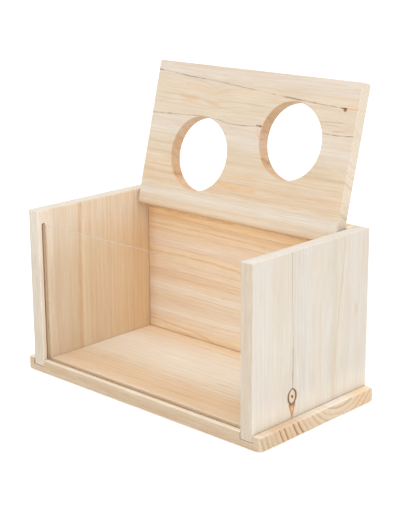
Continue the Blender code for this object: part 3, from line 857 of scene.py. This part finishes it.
def lid_wood():
    """Pale pine with straight orange grain in its lower half, two long cracks that end in dark resin spots,
    and a curl of grain where a branch lay just under the surface."""
    finish = Finish("lid_pine")
    x, y, z = finish.place()
    y, z = y - float(hinge_spot[1]) * 1000, z - float(hinge_spot[2]) * 1000
    up = y * float(up_lid[1]) + z * float(up_lid[2]) + LID_TAIL * 1000
    out = y * float(out_lid[1]) + z * float(out_lid[2])
    curl_x, curl_y = (x + 34) / 10, (up - 88) / 8
    dip = 4.5 / (1 + curl_x * curl_x + curl_y * curl_y)
    across = up + dip
    wander = finish.noise(x / 150, across / 8, out / 8, 2) - 0.5
    colour = tones_across(finish, across + wander * 2.4, (
        (0, 205, 178, 146), (5, 211, 198, 179), (8, 213, 203, 187), (12, 214, 208, 198),
        (16, 210, 199, 183), (20, 211, 197, 176), (27, 207, 190, 168), (34, 208, 194, 173),
        (44, 205, 193, 173), (50, 204, 194, 177), (58, 208, 201, 191), (66, 206, 196, 183),
        (72, 206, 195, 178), (84, 205, 194, 177), (92, 206, 193, 174), (99, 204, 195, 183),
        (110, 207, 196, 184),
    ))
    colour, _ = drawn(finish, colour, x, up, tone(212, 164, 96), (
        (0.5, 0.32, 0.5, ((-95, 18.6), (0, 18.4), (95, 18.6))),
        (0.6, 0.34, 0.5, ((-95, 25.8), (0, 26.2), (95, 25.6))),
        (1, 0.50, 0.4, ((-24, 26.2), (-4, 26.4), (20, 25.8))),
        (1.5, 0.40, 0.3, ((-24, 23.6), (-6, 24), (20, 23.8))),
        (0.9, 0.30, 0.5, ((-95, 31.5), (-70, 31), (-30, 32))),
        (1, 0.28, 0.5, ((-16, 31.8), (0, 32.6), (20, 31.6))),
        (0.4, 0.20, 0.5, ((-95, 38.8), (0, 39.4), (95, 38.9))),
        (0.5, 0.20, 0.5, ((-95, 44.6), (0, 44.2), (95, 44.8))),
        (0.35, 0.14, 0.5, ((-95, 49.4), (0, 49.8), (95, 49.2))),
        (0.4, 0.20, 0.5, ((-95, 22), (0, 22.4), (95, 22))),
        (0.5, 0.16, 0.5, ((-95, 6), (0, 5.6), (95, 6.2))),
    ))
    colour, _ = drawn(finish, colour, x, up, tone(202, 162, 106), (
        (1.30, 0.42, 0.2, ((-68, 82.8), (-57, 82.2), (-46, 81.2))),
        (1.10, 0.36, 0.2, ((-42, 80.9), (-34, 79.8), (-25, 78.4))),
        (0.34, 0.42, 0.2, ((-64, 91.6), (-50, 91.8), (-43, 91), (-38.5, 89.4), (-35.5, 87.6))),
        (0.34, 0.38, 0.2, ((-33.5, 86.6), (-29, 88.2), (-24, 90.6), (-14, 91.8), (4, 92.2))),
        (0.38, 0.32, 0.2, ((-90, 86), (-74, 85.6), (-60, 83.4), (-47, 81.2))),
        (0.38, 0.32, 0.2, ((-88, 77.2), (-68, 79.2), (-56, 80), (-47, 80.8))),
        (0.30, 0.28, 0.2, ((-32, 82.4), (-14, 83.2), (8, 82.6), (22, 81.4))),
        (0.7, 0.30, 0.2, ((-38, 80.6), (-30, 79), (-20, 76.8))),
        (1.1, 0.30, 0.2, ((-64, 82.4), (-56, 82), (-48, 81))),
        (0.55, 0.8, 0.3, ((80, 88.2), (86, 88.5), (95, 88.8))),
    ))
    blotch = (((x - 13) / 3.4) ** 2 + ((up - 65.5) / 6.4) ** 2).smooth(1.4, 0.3)
    blotch = blotch * finish.noise(x / 1.5, up / 1.5, 2, 2).smooth(0.46, 0.62)
    colour = finish.mix(blotch * 0.42, colour, tone(200, 144, 90))
    colour, cut = drawn(finish, colour, x, up, tone(108, 70, 38), (
        (0.27, 0.52, 0.7, ((-92, 99.5), (-72, 98), (-45, 96.3), (-20, 94.8), (0, 93.2), (24, 91.4),
                           (50, 89.9), (81, 88.2))),
        (0.34, 0.80, 0.2, ((-96, 99.6), (-90, 99.2), (-84, 98.8))),
        (0.36, 0.60, 0.7, ((-68, 97.4), (-56, 96.8), (-44, 96.4), (-20, 94.8))),
        (0.36, 0.75, 0.7, ((27, 91.3), (40, 90.4), (60, 89.4))),
        (0.30, 0.60, 0.5, ((-96, 67.6), (-75, 68.5), (-58, 69.2), (-40, 70.2))),
        (0.34, 0.75, 0.2, ((-78, 68.4), (-74, 68.6), (-69, 68.8))),
        (0.28, 0.58, 0.5, ((-29, 69.4), (-20, 68.3), (-10, 67.4), (2, 68), (15, 69.2))),
        (0.28, 0.65, 0.6, ((65, 70.6), (78, 70.3), (96, 71.8))),
        (0.20, 0.42, 0.4, ((60, 77.4), (70, 78.2), (84, 79))),
        (0.18, 0.30, 0.6, ((66, 75.6), (74, 76.4), (80, 76.2))),
        (0.24, 0.42, 0.7, ((72, 72.2), (80, 73), (88, 73.8))),
    ))
    for place, level, wide, tall in ((81.4, 87.6, 1.6, 1.5), (80.2, 88.4, 3.2, 0.5), (13.2, 69, 1.4, 0.8),
                                     (10.6, 69.3, 1.5, 0.4)):
        spot = (((x - place) / wide) ** 2 + ((up - level) / tall) ** 2).smooth(1.3, 0.3)
        colour = finish.mix(spot * 0.8, colour, tone(104, 58, 26))
    rings = grown_rings(finish, x, across, out, (200, -60), 6.4, 0, 0.4) * (up.smooth(62, 44) * 0.7 + 0.3)
    end_tone = tone(228, 222, 210)
    wall_blotches = finish.noise(x / 2.4, up / 2.4, out / 4, 3).smooth(0.42, 0.70)
    for place, burn_and_shade_level in zip(OPENINGS, (27, 45)):
        reach = ((x - place[0] * 1000) ** 2 + (up - (place[1] + LID_TAIL) * 1000) ** 2) ** 0.5
        in_opening = reach.smooth(27, 26.6)
        # A dark band low in each opening's wall: part saw burn, part painted shade.
        burn_and_shade = abs(up - burn_and_shade_level).smooth(4, 0.5) * (wall_blotches * 0.3 + 0.25)
        colour = finish.mix(in_opening * (wall_blotches * 0.36 + 0.24), colour, tone(216, 158, 88))
        colour = finish.mix(in_opening * burn_and_shade, colour, tone(160, 96, 40))
        colour = finish.mix(in_opening * up.smooth(56, 76) * 0.35, colour, tone(172, 150, 112))
        end_tone = finish.mix(in_opening, end_tone, colour)
    return wood_surface(finish, x, across, out, (1, 0, 0), colour, rings, tone(222, 178, 128),
                        ring_amount=0.24, streaks=0.30, fibres=0.36, end_tone=end_tone, end_amount=0.75,
                        cut=cut)


lid.data.materials.append(lid_wood())
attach(lid, "lid_leaf")
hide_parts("lid")

# ------------------------------------------------------------------ front pane
# A clear acrylic sheet, cut on a saw and lightly flamed, so its faces are glossy and its edges a
# little frosted. It stands in the grooves of the side panels and the base, and can't slide out.

PANE_ARRIS = 0.0002
pane = board(
    "pane",
    pane_low,
    pane_high,
    ((1, 0, 0), (0, 0, 1), (0, -1, 0)),
    lines_across(pane_high.x - pane_low.x, PANE_ARRIS, 0.006),
    lines_across(pane_high.z - pane_low.z, PANE_ARRIS, 0.006),
    (PANE_ARRIS,) * 4,
    PANE_ARRIS,
    83,
)


def clear_acrylic():
    """Clear sheet as thin as it looks: what is behind shows unbent, under a weak reflection that grows at a
    glancing angle. It has a few fine wipe marks and a frosted sawn top, and its margins carry a painted wood
    tone: painted light over the shaded grooves behind them."""
    finish = Finish("pane_clear")
    x, y, z = finish.place()
    wipe = finish.noise(x / 34 + z / 60, z / 5, 1, 3).smooth(0.55, 0.85)
    finish.feed(finish.surface.inputs["Roughness"], 0.02 + wipe * 0.05)
    finish.surface.inputs["Base Color"].default_value = (0.94, 0.95, 0.95, 1.0)
    finish.surface.inputs["Metallic"].default_value = 1.0
    clear = finish.node("ShaderNodeBsdfTransparent", None, {"Color": (0.99, 0.992, 0.99, 1)})
    glance = finish.node("ShaderNodeLayerWeight", None, {"Blend": 0.5}, output="Facing")
    edge = finish.facing((0, 1, 0)).smooth(0.75, 0.35)
    shine = glance ** 3 * 0.25 * (1 - edge)
    both = finish.node("ShaderNodeMixShader", None, {0: shine, 1: clear})
    finish.tree.links.new(finish.surface.outputs[0], both.socket.node.inputs[2])
    saw = finish.noise(x / 7, y / 0.6, z / 7, 2).smooth(0.3, 0.7)
    frosted = finish.node("ShaderNodeBsdfPrincipled", None, {"Roughness": 0.55})
    lavender = finish.mix(saw, tone(176, 166, 168), tone(192, 183, 184))
    finish.feed(frosted.socket.node.inputs["Base Color"], lavender)
    frost = edge * z.smooth(60, 90) * (x.smooth(40, -40) * 0.4 + 0.14)
    both = finish.node("ShaderNodeMixShader", None, {0: frost, 1: both, 2: frosted})
    # The margins in the grooves take a flat wood tone: painted light that covers the groove's shade behind
    # the sheet.
    painted_wood_film = finish.node("ShaderNodeBsdfPrincipled", None, {"Roughness": 0.5})
    painted_wood_film.socket.node.inputs["Base Color"].default_value = tone(214, 184, 150)
    margin = abs(x).smooth(side_low.x * 1000 - 2, side_low.x * 1000 - 1)
    margin = margin.largest(z.smooth(base_high.z * 1000 + 1, base_high.z * 1000 + 0.5))
    both = finish.node("ShaderNodeMixShader", None, {0: margin * 0.6, 1: both, 2: painted_wood_film})
    for ray in ("Diffuse", "Shadow"):
        lamp = finish.node("ShaderNodeLightPath", None, None, output=f"Is {ray} Ray")
        both = finish.node("ShaderNodeMixShader", None, {0: lamp, 1: both, 2: clear})
    finish.tree.links.new(both.socket, finish.tree.nodes["Material Output"].inputs["Surface"])
    return finish.material


pane.data.materials.append(clear_acrylic())
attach(pane, "box")
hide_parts("front_pane")

# ------------------------------------------------------------------ pins, nails and dowels
# Bright steel pins carry the lid, one in each end. Nine flat-headed steel nails come up through the base
# into the panels, and four beech dowels join the back panel to the sides. All are bought as they are.


def drawn_steel(name, centre, axis):
    """Zinc-bright wire: fine drawing lines along it, a cloudy plating and a few dull spots."""
    finish = Finish(name)
    place = finish.place()
    along = place[axis]
    round_it = [place[other] - centre[other] * 1000 for other in range(3) if other != axis]
    drawn = finish.noise(along / 6, round_it[0] / 0.12, round_it[1] / 0.12, 3, 0.6)
    plating = finish.noise(along / 2, round_it[0] / 0.8, round_it[1] / 0.8, 2)
    dull = finish.noise(along / 0.7, round_it[0] / 0.5, round_it[1] / 0.5, 1).smooth(0.62, 0.72)
    colour = finish.mix(plating.smooth(0.3, 0.7), tone(176, 178, 182), tone(206, 206, 204))
    colour = finish.mix(dull * 0.5, colour, tone(130, 124, 116))
    rough = 0.24 + drawn * 0.16 + dull * 0.25
    finish.surface.inputs["Metallic"].default_value = 1.0
    return finish.finished(colour, rough, drawn - dull * 0.6, 0.4, 0.00004)


def beech():
    """Dowel rod: pinkish beech with short dark flecks along it, and fluted lines pressed into it."""
    finish = Finish("dowel_beech")
    x, y, z = finish.place()
    turn = finish.node("ShaderNodeMath", {"operation": "ARCTAN2"}, {0: z - 36, 1: y - 53})
    flute = finish.node("ShaderNodeMath", {"operation": "SINE"}, {0: turn * 24})
    fleck = finish.noise(x / 1.6, y / 0.25, z / 0.25, 2).smooth(0.58, 0.72)
    figure = finish.noise(x / 14, y / 0.9, z / 0.9, 3)
    colour = finish.mix(figure.smooth(0.3, 0.7), tone(224, 190, 156), tone(206, 166, 130))
    colour = finish.mix(fleck * 0.5, colour, tone(150, 104, 72))
    relief = flute * 0.5 + figure * 0.3 - fleck * 0.3
    return finish.finished(colour, 0.56 + figure * 0.18, relief, 0.5, 0.0001)


def dress(node, material):
    """Gives a CAD node that stays as it is its finished material."""
    piece = frame["nodes"][node]
    piece.data.materials.clear()
    piece.data.materials.append(material)


dowel_material = beech()
for node in sorted(frame["nodes"]):
    if node.startswith(("nail_", "pivot_pin_")):
        low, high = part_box(node)
        axis = 2 if node.startswith("nail_") else 0
        dress(node, drawn_steel(f"{node}_steel", (low + high) / 2, axis))
    elif node.startswith("dowel_"):
        dress(node, dowel_material)

# ------------------------------------------------------------------ studio
# A pale table lit a little from below, one broad soft lamp high in front on the right, and even light
# from all round. The camera looks down a little on the front right corner.


def bright(name, place, aim, size, power):
    """A broad square lamp at a place, turned to its aim."""
    lamp = bpy.data.lights.new(name, "AREA")
    lamp.size = size
    lamp.energy = power
    thing = bpy.data.objects.new(name, lamp)
    thing.location = place
    thing.rotation_euler = (Vector(aim) - Vector(place)).to_track_quat("-Z", "Y").to_euler()
    bpy.context.scene.collection.objects.link(thing)


bright("key", (0.35, -0.75, 1.4), (0.0, 0.0, 0.08), 0.9, 7.0)

world = bpy.data.worlds.new("studio")
world.use_nodes = True
world.node_tree.nodes["Background"].inputs["Color"].default_value = (1.0, 1.0, 1.0, 1.0)
world.node_tree.nodes["Background"].inputs["Strength"].default_value = 1.14
bpy.context.scene.world = world
bpy.context.scene.view_settings.view_transform = "Standard"

floor_mesh = bpy.data.meshes.new("floor")
bm = bmesh.new()
bmesh.ops.create_grid(bm, x_segments=4, y_segments=4, size=4.0)
bm.to_mesh(floor_mesh)
bm.free()
floor = bpy.data.objects.new("floor", floor_mesh)
floor.location.z = -0.0002
bpy.context.scene.collection.objects.link(floor)
floor_finish = Finish("floor_pale")
floor_x, floor_y, floor_z = floor_finish.place()
mottle = floor_finish.noise(floor_x / 90.0, floor_y / 90.0, 0.0, 3.0)
floor_finish.feed(
    floor_finish.surface.inputs["Base Color"],
    floor_finish.mix(mottle, (0.93, 0.93, 0.93, 1.0), (0.95, 0.95, 0.95, 1.0)),
)
floor_finish.surface.inputs["Roughness"].default_value = 0.9
floor_finish.surface.inputs["Emission Color"].default_value = (1.0, 1.0, 1.0, 1.0)
floor_finish.surface.inputs["Emission Strength"].default_value = 0.2
floor_mesh.materials.append(floor_finish.material)

CAMERA_PLACE = Vector((0.5814, -0.6058, 0.3284))
CAMERA_BEARING = math.radians(43.43)
CAMERA_DIP = math.radians(15.69)
CAMERA_ROLL = math.radians(-0.35)
camera = bpy.data.objects.new("camera", bpy.data.cameras.new("camera"))
camera.data.lens = 90.5
camera.data.sensor_width = 36.0
camera.location = CAMERA_PLACE
turn_camera = Matrix.Rotation(CAMERA_BEARING, 4, "Z") @ Matrix.Rotation(math.pi / 2 - CAMERA_DIP, 4, "X")
camera.matrix_world = Matrix.Translation(CAMERA_PLACE) @ turn_camera @ Matrix.Rotation(CAMERA_ROLL, 4, "Z")
bpy.context.scene.collection.objects.link(camera)
bpy.context.scene.camera = camera
